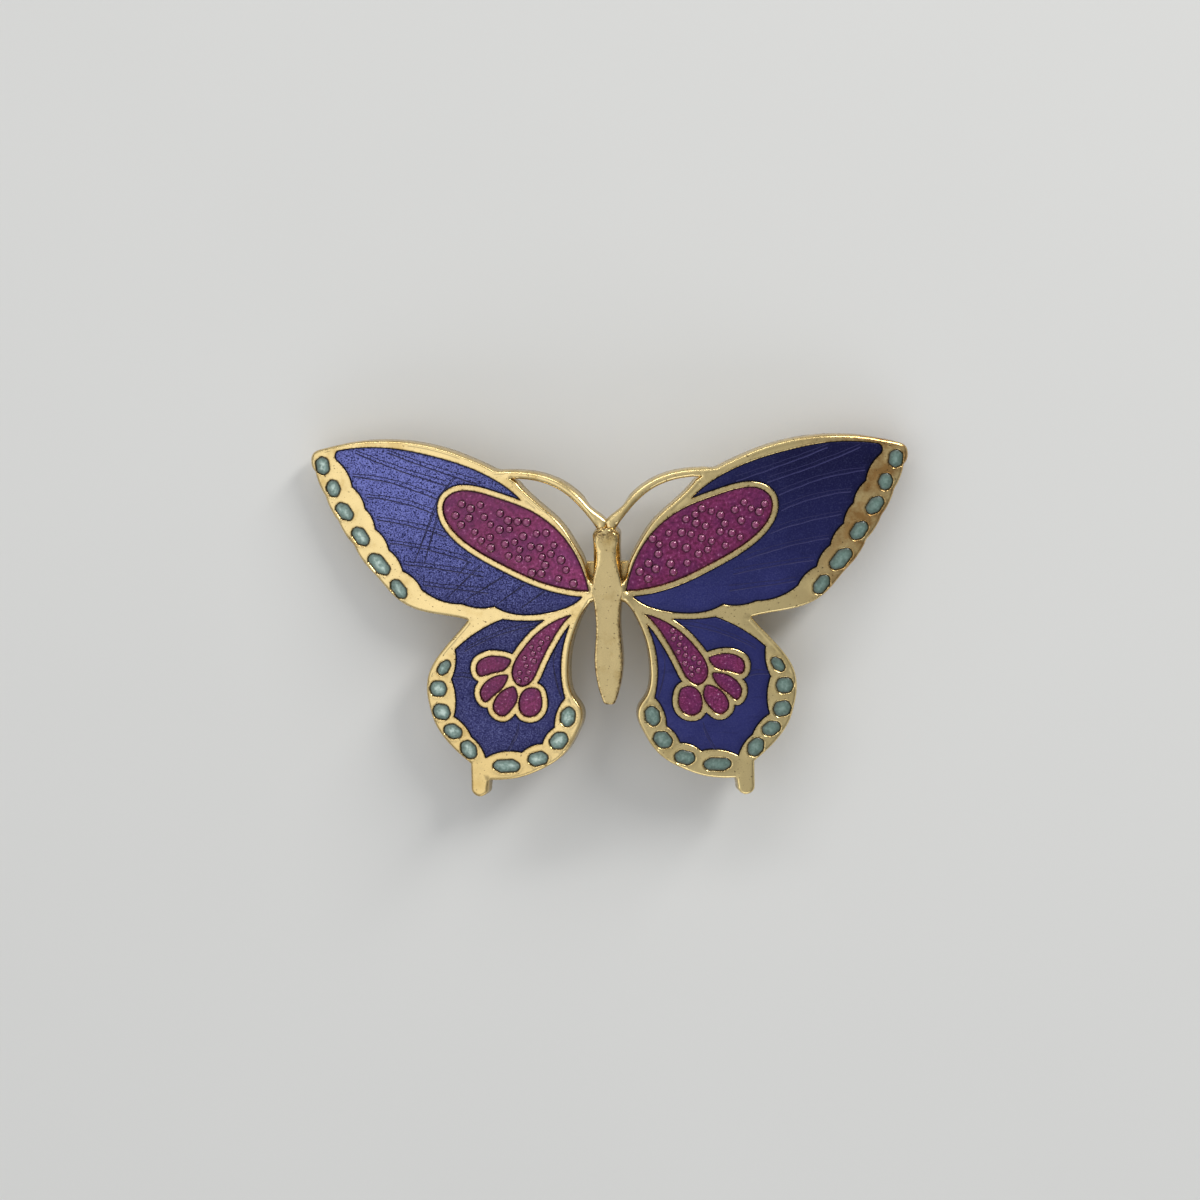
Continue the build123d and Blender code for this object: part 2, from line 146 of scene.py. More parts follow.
def rings_of(node, keep):
    """Closed plan outlines, in millimetres, of the faces of a node that keep() accepts."""
    bm = bmesh.new()
    bm.from_mesh(frame["nodes"][node].data)
    bmesh.ops.remove_doubles(bm, verts=bm.verts, dist=WELD)
    bm.normal_update()
    kept = {f for f in bm.faces if keep(f)}
    nexts = {}
    for face in kept:
        for corner in face.loops:
            if sum(f in kept for f in corner.edge.link_faces) == 1:
                nexts.setdefault(corner.vert.index, []).append(corner.link_loop_next.vert.index)
    bm.verts.ensure_lookup_table()
    rings = []
    while nexts:
        start = next(iter(nexts))
        ring = [start]
        while True:
            here = ring[-1]
            following = nexts[here].pop()
            if not nexts[here]:
                del nexts[here]
            if following == start or following not in nexts:
                break
            ring.append(following)
        if len(ring) >= FEWEST_CORNERS:
            rings.append(np.array([[bm.verts[i].co.x / MM, bm.verts[i].co.y / MM] for i in ring]))
    bm.free()
    return rings


def area_of(ring):
    """The area within an outline, negative where the outline runs clockwise."""
    x, y = ring[:, 0], ring[:, 1]
    return 0.5 * float(np.sum(x * np.roll(y, -1) - np.roll(x, -1) * y))


def largest(rings):
    return max(rings, key=lambda r: abs(area_of(r)))


def turn_of(ring):
    """+1 for an outline that runs counter-clockwise and -1 for one that runs clockwise."""
    return 1 if area_of(ring) > 0 else -1


def is_corner(a, b):
    """Whether an outline turns sharply between two of its steps."""
    return np.dot(a, b) < CORNER_COSINE * np.linalg.norm(a) * np.linalg.norm(b)


def resampled(ring, step=EDGE_STEP):
    """The same outline through evenly spaced points, smooth between corners."""
    count = len(ring)
    out = []
    for i in range(count):
        p0, p1, p2, p3 = (ring[(i + k) % count] for k in (-1, 0, 1, 2))
        if is_corner(p1 - p0, p2 - p1):
            p0 = 2 * p1 - p2
        if is_corner(p2 - p1, p3 - p2):
            p3 = 2 * p2 - p1
        length = float(np.linalg.norm(p2 - p1))
        m1 = (p2 - p0) * length / (np.linalg.norm(p2 - p1) + np.linalg.norm(p1 - p0))
        m2 = (p3 - p1) * length / (np.linalg.norm(p3 - p2) + np.linalg.norm(p2 - p1))
        pieces = max(1, round(length / step))
        for k in range(pieces):
            t = k / pieces
            out.append((2 * t ** 3 - 3 * t ** 2 + 1) * p1 + (t ** 3 - 2 * t ** 2 + t) * m1
                       + (3 * t ** 2 - 2 * t ** 3) * p2 + (t ** 3 - t ** 2) * m2)
    return np.array(out)


def inside(points, rings):
    """Even-odd test of plan points against closed outlines."""
    result = np.zeros(len(points), bool)
    for ring in rings:
        ax, ay = ring.T
        bx, by = np.roll(ring, -1, axis=0).T
        slope = (bx - ax) / np.where(by == ay, 1e-12, by - ay)
        for start in range(0, len(points), INSIDE_BATCH):
            x, y = (column[:, None] for column in points[start:start + INSIDE_BATCH].T)
            crosses = ((ay > y) != (by > y)) & (x < slope * (y - ay) + ax)
            result[start:start + INSIDE_BATCH] ^= (crosses.sum(axis=1) % 2 == 1)
    return result


class EdgeFinder:
    """Distance from a plan point to the nearest outline, and which outline that is."""

    def __init__(self, rings):
        self.rings = rings
        self.tree = kdtree.KDTree(sum(len(r) for r in rings))
        self.places = []
        for number, ring in enumerate(rings):
            for k, point in enumerate(ring):
                self.tree.insert((point[0], point[1], 0.0), len(self.places))
                self.places.append((number, k))
        self.tree.balance()

    def __call__(self, x, y):
        _, found, _ = self.tree.find((x, y, 0.0))
        number, k = self.places[found]
        ring = self.rings[number]
        near = ring[k]
        best = math.hypot(x - near[0], y - near[1])
        for other in (ring[k - 1], ring[(k + 1) % len(ring)]):
            along = other - near
            span = float(along @ along)
            t = clamped(((x - near[0]) * along[0] + (y - near[1]) * along[1]) / span)
            best = min(best, math.hypot(x - near[0] - t * along[0], y - near[1] - t * along[1]))
        return best, number, near


NET_SEED = 7
NET_JITTER = 0.12       # how far a point of the loose grid strays, in spacings
ROW_CLEAR = 0.86        # a row's point nearer an edge than this part of its offset is left out
GRID_CLEAR = 0.4        # spacings between the last row and the loose grid
FULL_ROWS = 2           # the first rows keep every point, the others every second one
NET_MERGE = 1e-5        # points closer than this become one


def net(rings, sides, offsets, spacing, outer_rows=()):
    """Delaunay net over outlines, with rows of points beside each edge and a loose grid between.
    sides holds +1 where the rows lie left of the outline's own direction and -1 where they lie right.
    The first outline gets the outer rows as well."""
    finder = EdgeFinder(rings)
    points = [tuple(p) for ring in rings for p in ring]
    edges = []
    base = 0
    for ring in rings:
        edges += [(base + i, base + (i + 1) % len(ring)) for i in range(len(ring))]
        base += len(ring)
    for number, (ring, side) in enumerate(zip(rings, sides)):
        ahead = np.roll(ring, -1, axis=0) - np.roll(ring, 1, axis=0)
        ahead /= np.maximum(np.linalg.norm(ahead, axis=1), 1e-9)[:, None]
        across = np.stack([-ahead[:, 1], ahead[:, 0]], axis=1) * side
        for row, offset in enumerate(offsets if number else (*offsets, *outer_rows)):
            for p in (ring + across * offset)[::1 if row < FULL_ROWS else 2]:
                if finder(p[0], p[1])[0] > offset * ROW_CLEAR:
                    points.append((p[0], p[1]))
    rng = random.Random(NET_SEED)
    low = np.min([r.min(axis=0) for r in rings], axis=0)
    high = np.max([r.max(axis=0) for r in rings], axis=0)
    loose = []
    for i in range(int((high[0] - low[0]) / spacing) + 1):
        for j in range(int((high[1] - low[1]) / spacing) + 1):
            x = low[0] + (i + 0.5 * (j % 2) + rng.uniform(-NET_JITTER, NET_JITTER)) * spacing
            y = low[1] + (j + rng.uniform(-NET_JITTER, NET_JITTER)) * spacing
            loose.append((x, y))
    loose = np.array(loose)
    for x, y in loose[inside(loose, rings)]:
        if finder(x, y)[0] > offsets[-1] + GRID_CLEAR * spacing:
            points.append((x, y))
    found = delaunay_2d_cdt([Vector(p) for p in points], edges, [], 0, NET_MERGE)
    plan = np.array([(v.x, v.y) for v in found[0]])
    triangles = np.array([f for f in found[2] if len(f) == 3])
    return plan, triangles, finder


TOP, BED, BACK = range(3)  # the levels of a closed mesh


def edges_of(triangles):
    return {(t[k], t[(k + 1) % 3]) for t in triangles for k in range(3)}


def closed_mesh(name, plan, metal, sunk, top, bed, back, lean=lambda x: 0.0):
    """A closed shell: the metal triangles on top, the sunk ones on the bed, the back and the walls.
    top, bed and back give the height of a plan point. Returns the mesh and, for each level, the
    vertex that stands for each plan point."""
    verts = []
    maps = [{}, {}, {}]
    heights = (top, bed, back)

    def vert(level, i):
        if i not in maps[level]:
            maps[level][i] = len(verts)
            x = plan[i][0] - (lean(plan[i][0]) if level == BACK else 0.0)
            verts.append((x * MM, plan[i][1] * MM, heights[level](i) * MM))
        return maps[level][i]

    faces = []
    for level, triangles in ((TOP, metal), (BED, sunk)):
        for t in triangles:
            faces.append([vert(level, i) for i in t])
            faces.append([vert(BACK, i) for i in reversed(t)])
    raised = edges_of(metal)
    lowered = edges_of(sunk)
    for a, b in raised:
        if (b, a) in raised:
            continue
        level = BED if (b, a) in lowered else BACK
        faces.append([vert(TOP, b), vert(TOP, a), vert(level, a), vert(level, b)])
    mesh = bpy.data.meshes.new(name)
    mesh.from_pydata(verts, [], faces)
    mesh.update()
    return mesh, maps


def give(mesh, name, values):
    """A number for every point of a mesh, which its material reads."""
    mesh.attributes.new(name, "FLOAT", "POINT").data.foreach_set("value", values)


def turned(triangles, plan):
    """Triangles as index tuples, all counter-clockwise in plan."""
    out = []
    for t in triangles:
        a, b, c = (plan[i] for i in t)
        wound = (b[0] - a[0]) * (c[1] - a[1]) - (b[1] - a[1]) * (c[0] - a[0])
        if abs(wound) < 1e-9:
            continue
        out.append(tuple(int(i) for i in (t if wound > 0 else t[::-1])))
    return out


def mirrored(mesh, name):
    """A copy of a mesh for the other wing, with its faces turned the right way again."""
    copy = mesh.copy()
    copy.name = name
    copy.transform(Matrix.Diagonal((-1, 1, 1, 1)))
    copy.flip_normals()
    return copy


def placed(name, data):
    """A new object in the scene."""
    obj = bpy.data.objects.new(name, data)
    bpy.context.scene.collection.objects.link(obj)
    return obj


def piece(mesh, body, material, nodes=(), sharp=55):
    """Puts a finished mesh in the scene, riding on a body and standing for its frame nodes.
    Its edges look crisp where they turn by more than sharp degrees."""
    mesh.shade_smooth()
    mesh.set_sharp_from_angle(angle=math.radians(sharp))
    obj = placed(mesh.name, mesh)
    mesh.materials.clear()
    mesh.materials.append(material)
    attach(obj, body)
    if nodes:
        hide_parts(*nodes)
    return obj


# ---- node trees
class Nodes:
    """A node tree with helpers that add its nodes and link them."""

    def __init__(self, tree):
        self.tree = tree

    def add(self, kind, **settings):
        node = self.tree.nodes.new(kind)
        for key, value in settings.items():
            setattr(node, key, value)
        return node

    def link(self, a, b):
        self.tree.links.new(a, b)

    def wire(self, node, **sources):
        """Links sources to the inputs of a node that bear their names."""
        for name, source in sources.items():
            self.link(source, node.inputs[name.replace("_", " ")])

    def product(self, a, b):
        node = self.add("ShaderNodeMath", operation="MULTIPLY")
        self.link(a, node.inputs[0])
        self.link(b, node.inputs[1])
        return node.outputs[0]

    def band(self, source, low, high, to_low, to_high):
        """Runs from to_low to to_high as the source runs from low to high, and no further."""
        node = self.add("ShaderNodeMapRange")
        self.wire(node, Value=source)
        values = {"From Min": low, "From Max": high, "To Min": to_low, "To Max": to_high}
        for key, value in values.items():
            node.inputs[key].default_value = value
        return node.outputs["Result"]

    def axes(self, source):
        node = self.add("ShaderNodeSeparateXYZ")
        self.link(source, node.inputs[0])
        return node.outputs


# ---- materials
class Finish(Nodes):
    """A principled material with helpers for the nodes that give it its wear and grain."""

    def __init__(self, name, **sockets):
        self.material = bpy.data.materials.new(name)
        self.material.use_nodes = True
        super().__init__(self.material.node_tree)
        self.shader = self.tree.nodes["Principled BSDF"]
        for key, value in sockets.items():
            self.shader.inputs[key.replace("_", " ")].default_value = value
        self.place = self.add("ShaderNodeTexCoord").outputs["Object"]
        self.plan = self.axes(self.place)

    def noise(self, size_mm, detail=3.0, rough=0.55, stretch=None, turn=0.0):
        """Cloudy noise with features of a size, drawn out and turned in plan where that is asked."""
        node = self.add("ShaderNodeTexNoise")
        place = self.place
        if stretch:
            mapping = self.add("ShaderNodeMapping")
            mapping.inputs["Scale"].default_value = stretch
            mapping.inputs["Rotation"].default_value = (0.0, 0.0, turn)
            self.link(place, mapping.inputs["Vector"])
            place = mapping.outputs["Vector"]
        self.link(place, node.inputs["Vector"])
        node.inputs["Scale"].default_value = 1.0 / (size_mm * MM)
        node.inputs["Detail"].default_value = detail
        node.inputs["Roughness"].default_value = rough
        return node.outputs["Fac"]

    def fade(self, axis, low_mm, high_mm, to_low, to_high):
        """A band that follows the place on the object along an axis."""
        return self.band(self.plan[axis], low_mm * MM, high_mm * MM, to_low, to_high)

    def ramp(self, source, *stops):
        """Blends colours by a source; each stop is a position and a colour."""
        node = self.add("ShaderNodeValToRGB")
        band = node.color_ramp
        while len(band.elements) < len(stops):
            band.elements.new(0.5)
        for element, (at, colour) in zip(band.elements, stops):
            element.position = at
            element.color = (*colour, 1.0)
        self.link(source, node.inputs["Fac"])
        return node.outputs["Color"]

    def mix(self, factor, a, b):
        """Colour a where the factor is 0 and colour b where it is 1."""
        node = self.add("ShaderNodeMix", data_type="RGBA")
        self.link(factor, node.inputs[0])
        for socket, value in ((node.inputs[6], a), (node.inputs[7], b)):
            if isinstance(value, tuple):
                socket.default_value = (*value, 1.0)
            else:
                self.link(value, socket)
        return node.outputs[2]

    def attribute(self, name):
        return self.add("ShaderNodeAttribute", attribute_name=name).outputs["Fac"]

    def bump(self, height, strength, distance_mm, onto=None):
        """Relief of a height, laid over the relief that comes before it."""
        node = self.add("ShaderNodeBump")
        node.inputs["Strength"].default_value = strength
        node.inputs["Distance"].default_value = distance_mm * MM
        self.wire(node, Height=height)
        if onto is not None:
            self.wire(node, Normal=onto)
        return node.outputs["Normal"]

    def set(self, key, source):
        self.link(source, self.shader.inputs[key])


def gilt(name, bright=(0.80, 0.62, 0.30), dark_tone=(0.62, 0.44, 0.17), roughness=(0.15, 0.30), tip_reflection=0.0):
    """Worn gold plating: pale and finely scratched, with pin-prick pits and grime in its corners.
    Painted shade dulls it at the low left, and it is painted yellower on the right, which reflects less
    of the light from the left. A painted brown reflection darkens the outer edge of the right wing."""
    f = Finish(name, Metallic=1.0)
    shine = tuple(min(1.0, c * 1.1) for c in bright)
    colour = f.ramp(f.noise(2.2, 5.0, 0.6), (0.28, dark_tone), (0.46, bright), (0.85, shine))
    # Painted shade darkens the gold at the low left.
    low_left_shade = f.product(f.fade("X", -6.0, -1.0, 0.55, 0.0), f.fade("Y", -9.0, -1.0, 1.0, 0.0))
    colour = f.mix(low_left_shade, colour, dark_tone)
    # The right side is painted yellower, as gold that reflects less of the light from the left.
    right_reflection_tint = f.fade("X", 0.5, 4.0, 0.0, 0.5)
    colour = f.mix(right_reflection_tint, colour, (0.95, 0.76, 0.36))
    # A painted brown reflection at the outer edge of the right wing, blotched by cloudy noise.
    if tip_reflection:
        cloud = f.band(f.noise(1.5, 4.0, 0.65), 0.38, 0.60, 0.25, 1.0)
        brown_reflection = f.product(f.fade("X", 13.0, 17.5, 0.0, tip_reflection), cloud)
        colour = f.mix(brown_reflection, colour, (0.42, 0.21, 0.06))
    corners = f.attribute("stain")
    stained = f.product(corners, f.band(f.noise(0.35, 4.0, 0.7), 0.42, 0.62, 0.0, 0.85))
    colour = f.mix(stained, colour, (0.33, 0.19, 0.06))
    pits = f.band(f.noise(0.2, 2.0), 0.67, 0.72, 0.0, 0.9)
    colour = f.mix(pits, colour, (0.12, 0.075, 0.03))
    grime = f.product(corners, f.band(f.noise(0.13, 2.0), 0.51, 0.58, 0.0, 0.95))
    f.set("Base Color", f.mix(grime, colour, (0.10, 0.055, 0.016)))
    f.set("Roughness", f.band(f.noise(0.9, 4.0), 0.25, 0.75, *roughness))
    dents = f.bump(f.noise(0.9, 2.0), 0.18, 0.04)
    scratches = f.bump(f.noise(0.5, 2.0, stretch=(1.0, 0.06, 1.0), turn=0.5), 0.12, 0.02, dents)
    f.set("Normal", f.bump(f.noise(0.13, 3.0), 0.20, 0.02, scratches))
    return f.material


def steel(name, bright=(0.72, 0.68, 0.60)):
    """Nickel-plated wire with fine drawing marks along it."""
    f = Finish(name, Metallic=1.0)
    marks = f.noise(0.09, 3.0, stretch=(0.06, 1.0, 1.0))
    f.set("Base Color", f.ramp(marks, (0.3, tuple(c * 0.82 for c in bright)), (0.7, bright)))
    f.set("Roughness", f.band(marks, 0.3, 0.7, 0.16, 0.32))
    f.set("Normal", f.bump(marks, 0.25, 0.01))
    return f.material


def blue_enamel():
    """Deep blue glass over brushed metal: its gloss is broken by dark specks and fine streaks.
    A painted sheen and glints light the upper left; painted shade darkens the low left and the right
    wing."""
    f = Finish("blue enamel", Metallic=0.9, IOR=1.5, Coat_Roughness=0.2)
    speck = f.noise(0.10, 2.0, 0.65)
    clouds = f.noise(3.4, 3.0)
    streaks = f.noise(0.42, 3.0, 0.6, stretch=(0.16, 1.0, 1.0), turn=0.35)
    edge = f.attribute("edge")
    colour = f.ramp(clouds, (0.3, (0.044, 0.050, 0.225)), (0.7, (0.066, 0.074, 0.320)))
    lines = f.band(streaks, 0.30, 0.42, 0.30, 0.0)
    colour = f.mix(lines, colour, (0.020, 0.019, 0.090))
    shadow = f.product(f.fade("X", 2.0, 13.0, 0.40, 0.88), f.fade("Y", 1.0, 11.0, 0.50, 1.12))
    colour = f.mix(shadow, colour, (0.010, 0.010, 0.060))
    # Painted shade at the low left.
    low_left_shade = f.product(f.fade("X", -4.0, 1.0, 0.45, 0.0), f.fade("Y", 0.0, 5.0, 1.0, 0.0))
    colour = f.mix(low_left_shade, colour, (0.014, 0.013, 0.055))
    # Painted light: a pale sheen over the upper left.
    painted_glow = f.product(f.fade("X", -12.5, -1.0, 0.80, 0.0), f.fade("Y", 0.5, 9.0, 0.0, 1.0))
    colour = f.mix(painted_glow, colour, (0.16, 0.18, 0.55))
    # Painted glints and dark specks, strongest on the left where the painted sheen lies.
    sheen_speckle = f.product(f.fade("X", -6.0, 0.0, 1.0, 0.22), f.fade("Y", -3.0, 3.0, 0.5, 1.0))
    painted_glints = f.product(f.band(speck, 0.56, 0.64, 0.0, 0.35), sheen_speckle)
    colour = f.mix(painted_glints, colour, (0.26, 0.30, 0.72))
    specks = f.product(f.band(speck, 0.41, 0.48, 0.95, 0.0), sheen_speckle)
    colour = f.mix(specks, colour, (0.006, 0.006, 0.036))
    # Painted shade: the dark line where the glass meets the metal.
    f.set("Base Color", f.mix(edge, colour, (0.003, 0.003, 0.014)))
    f.set("Roughness", f.band(speck, 0.3, 0.7, 0.54, 0.36))
    sheen = f.product(f.band(speck, 0.40, 0.62, 0.05, 0.9), f.band(clouds, 0.3, 0.7, 0.7, 1.0))
    clear = f.product(f.band(edge, 0.0, 1.0, 1.0, 0.0), f.fade("X", 2.0, 13.0, 1.0, 0.35))
    f.set("Coat Weight", f.product(sheen, clear))
    grainy = f.bump(speck, 0.35, 0.02, f.bump(f.noise(1.4, 2.0), 0.2, 0.05))
    f.set("Normal", f.bump(streaks, 0.12, 0.02, grainy))
    f.set("Coat Normal", f.bump(speck, 0.15, 0.02))
    return f.material


def plum_enamel(name="plum enamel", grain_mm=0.22, strength=0.5, spark=(0.85, 0.38, 0.62)):
    """Translucent plum glass over a struck, uneven metal ground that glitters through it."""
    f = Finish(name, Metallic=0.7, Coat_Weight=0.25, Coat_Roughness=0.08, IOR=1.52, Roughness=0.34)
    ground = f.noise(grain_mm, 3.0, 0.6)
    colour = f.ramp(ground, (0.30, (0.120, 0.010, 0.052)), (0.48, (0.225, 0.022, 0.108)),
                    (0.64, (0.33, 0.046, 0.18)), (0.74, spark))
    clouds = f.band(f.noise(1.6, 2.0), 0.42, 0.65, 0.0, 0.4)
    colour = f.mix(clouds, colour, (0.11, 0.014, 0.11))
    shade = f.fade("X", -8.0, -1.0, 0.30, 0.0)
    colour = f.mix(shade, colour, (0.050, 0.006, 0.026))
    # Painted shade: the dark line where the glass meets the metal.
    f.set("Base Color", f.mix(f.attribute("edge"), colour, (0.022, 0.004, 0.009)))
    f.set("Normal", f.bump(ground, strength, 0.06))
    f.set("Coat Normal", f.bump(f.noise(grain_mm * 1.3, 2.0), 0.45, 0.05))
    return f.material


def bead_glass():
    """Clear plum beads, with painted shade darkening them round their foot."""
    f = Finish("glass bead", Metallic=0.3, Coat_Weight=1.0, Coat_Roughness=0.03, IOR=1.55, Roughness=0.3)
    f.set("Base Color", f.ramp(f.attribute("lift"), (0.46, (0.024, 0.003, 0.011)),
                               (0.68, (0.17, 0.016, 0.076)), (0.95, (0.25, 0.028, 0.125))))
    f.set("Normal", f.bump(f.noise(0.3, 2.0), 0.2, 0.04))
    return f.material


def teal_enamel():
    """Opaque grey-green glass, with a dark olive line of painted shade where it meets the metal.
    Its middle is paler, partly by its own tone and partly by a painted highlight strongest on the left
    wing;
    painted shade darkens the right wing."""
    f = Finish("teal enamel", Coat_Weight=0.8, Coat_Roughness=0.09, Roughness=0.4)
    grain = f.noise(0.2, 3.0, 0.6)
    colour = f.ramp(grain, (0.3, (0.090, 0.172, 0.142)), (0.52, (0.155, 0.262, 0.226)),
                    (0.75, (0.32, 0.46, 0.42)))
    # A paler middle: partly the glass's own tone, partly a painted highlight made stronger on the left
    # wing.
    middle = f.product(f.band(f.attribute("inward"), 0.22, 0.42, 0.0, 1.0),
                       f.band(f.noise(0.3, 3.0), 0.40, 0.60, 0.1, 0.9))
    pale = f.product(middle, f.fade("X", -6.0, 6.0, 1.3, 0.35))
    colour = f.mix(pale, colour, (0.52, 0.66, 0.60))
    shade = f.fade("X", -2.0, 3.0, 0.0, 0.45)
    colour = f.mix(shade, colour, (0.050, 0.095, 0.078))
    # Painted shade: the dark line where the glass meets the metal.
    f.set("Base Color", f.mix(f.attribute("edge"), colour, (0.020, 0.026, 0.014)))
    f.set("Normal", f.bump(grain, 0.7, 0.05))
    f.set("Coat Normal", f.bump(f.noise(0.35, 2.0), 0.3, 0.05))
    return f.material


def vein_ink(name, low, high, right_wing_lighting, break_mm=0.13):
    """A hairline engraved in the blue, broken up along its length; its tone on the right wing is painted
    for the light there.
    """
    f = Finish(name, Roughness=0.6, Specular_IOR_Level=0.25)
    line = f.ramp(f.noise(break_mm, 3.0, 0.6), (0.44, low), (0.58, high))
    # On the right wing the line takes a tone painted for the light that falls there.
    f.set("Base Color", f.mix(f.fade("X", -2.0, 4.0, 0.0, 0.8), line, right_wing_lighting))
    return f.material


GILT = gilt("gold plating", tip_reflection=0.9)
GILT_BACK = gilt("gold plating, findings", bright=(0.76, 0.57, 0.26), roughness=(0.20, 0.34))
SOLDER = gilt("gilded solder", (0.66, 0.50, 0.26), dark_tone=(0.42, 0.30, 0.14), roughness=(0.34, 0.55))
WIRE = steel("nickel wire")
RIVET = steel("rivet", bright=(0.62, 0.56, 0.45))
BLUE = blue_enamel()
PLUM = plum_enamel()
PLUM_FINE = plum_enamel("plum enamel, petals", grain_mm=0.17, strength=0.9, spark=(1.0, 0.62, 0.82))
BEAD = bead_glass()
TEAL = teal_enamel()
VEIN = vein_ink("engraved vein", (0.008, 0.007, 0.026), (0.026, 0.024, 0.080), (0.018, 0.018, 0.088))
VEIN_GLEAM = vein_ink("vein gleam", (0.028, 0.028, 0.105), (0.105, 0.105, 0.230),
                      (0.034, 0.034, 0.130), break_mm=0.6)


# ---- enamel
ENAMEL = [n[len("right_"):] for n in frame["nodes"] if n.startswith("right_") and "solder" not in n]
LOOK = {"blue": (BLUE, "blue_enamel"), "plum": (PLUM, "plum_enamel"), "teal": (TEAL, "teal_enamel")}


def colour_of(cell):
    if "blue" in cell:
        return "blue"
    return "teal" if "spot" in cell else "plum"


def cell_outlines():
    """The plan outlines of every cell of the right wing, as the enamel fills them."""
    out = {}
    for cell in ENAMEL:
        rings = rings_of("right_" + cell, lambda f: f.normal.z > 0.7)
        out[cell] = [resampled(r) for r in rings]
    return out


def enamel_mesh(cell, rings):
    """Glass that fills one cell, sinking a little where it meets the metal, with a dark line of painted
    shade there.
    """
    colour = colour_of(cell)
    plan, triangles, finder = net(rings, [1] * len(rings), (0.05, 0.12), GLASS_NET[colour])
    middles = plan[triangles].mean(axis=1)
    filled = turned(triangles[inside(middles, rings)], plan)
    edge = [finder(x, y)[0] for x, y in plan]

    def top(i):
        x, y = plan[i]
        wave = noise.noise(Vector((x * 0.9, y * 0.9, len(cell)))) * GLASS_WAVE * clamped(edge[i] / 0.3)
        sink = GLASS_MENISCUS * math.exp(-edge[i] / 0.05)
        rise = GLASS_CROWN[colour] * clamped(edge[i] / 0.4)
        return CREST + dome(x) - GLASS_DROP[colour] - sink + rise + wave

    def back(i):
        return CREST + dome(plan[i][0]) - CELL_DEPTH

    mesh, maps = closed_mesh("right_" + cell + "_glass", plan, filled, [], top, back, back)
    line = [1.0] * len(mesh.vertices)
    inward = [0.0] * len(mesh.vertices)
    for i, v in maps[TOP].items():
        line[v] = hump(edge[i], 0.0, GLASS_LINE[colour])
        inward[v] = edge[i]
    give(mesh, "edge", line)
    give(mesh, "inward", inward)
    return mesh


def build_enamel(outlines):
    """Every fill on both wings. Returns the plum fields that carry beads, each with its cell."""
    beaded = []
    for cell, rings in outlines.items():
        material, slot = LOOK[colour_of(cell)]
        if "petal" in cell or "teardrop" in cell:
            material = PLUM_FINE
        mesh = enamel_mesh(cell, rings)
        other = mirrored(mesh, "left_" + cell + "_glass")
        right = piece(mesh, "brooch", material, ["right_" + cell])
        left = piece(other, "brooch", material, ["left_" + cell])
        if cell in BEADED:
            beaded += [(right, cell), (left, cell)]
    return beaded


# ---- the struck plate
FEELER_LINE = 4.7       # the feelers leave the wing along lines that start this far above the waist
RUN_X = 1.2             # where the wing's root starts to run on under the body
RUN_Y = (-0.6, 1.6)     # between these heights above the waist
RUN_REACH = 0.4         # how far it runs on
NECK_X = 1.0            # the frame's outline between the feelers' roots, which becomes the V
NECK_Y = (4.5, 5.42)
V_FOOT = -0.48          # the V's foot, past the middle so that the two sides cross
V_TOP = 5.6             # where the V starts above the waist
V_DEPTH = 0.75
MEET_X = 2.2            # the feelers' inner edges move together within this reach
MEET_Y = (5.0, 7.0)


def on_feeler(x, y):
    """Whether a plan point of the right side belongs to the feeler and not to the wing."""
    return y - WAIST_Y > FEELER_LINE + 0.62 * x and x < 7.3


def plate_outline():
    """The right wing and feeler, run on under the body, with the feelers meeting in a V at the head."""
    def front(face):
        spot = face.calc_center_median() / MM
        return face.normal.z > 0.9 and abs(spot.z - CREST - dome(spot.x)) < 0.05 and spot.x > 0

    outer = resampled(largest(rings_of("butterfly_base", front)))
    for p in outer:
        y = p[1] - WAIST_Y
        if p[0] < RUN_X and RUN_Y[0] < y < RUN_Y[1]:
            p[0] -= RUN_REACH * min(1.0, (RUN_X - p[0]) / 0.25)
        if p[0] < NECK_X and NECK_Y[0] < y < NECK_Y[1]:
            across = clamped((p[0] - 0.2) / 0.62)
            p[0] = across + V_FOOT
            p[1] = V_TOP - V_DEPTH * min(1.0, across / 0.2) + WAIST_Y
        elif p[0] < MEET_X and MEET_Y[0] < y < MEET_Y[1] and y > FEELER_LINE + 1.27 * p[0]:
            p[0] -= FEELER_MEET * smooth((6.8 - y) / 1.1)
    return outer


def rounding(distance, radius):
    """How far a rounded edge lies below the face at a distance in from that edge."""
    if distance >= radius:
        return 0.0
    return radius - math.sqrt(radius ** 2 - (radius - distance) ** 2)


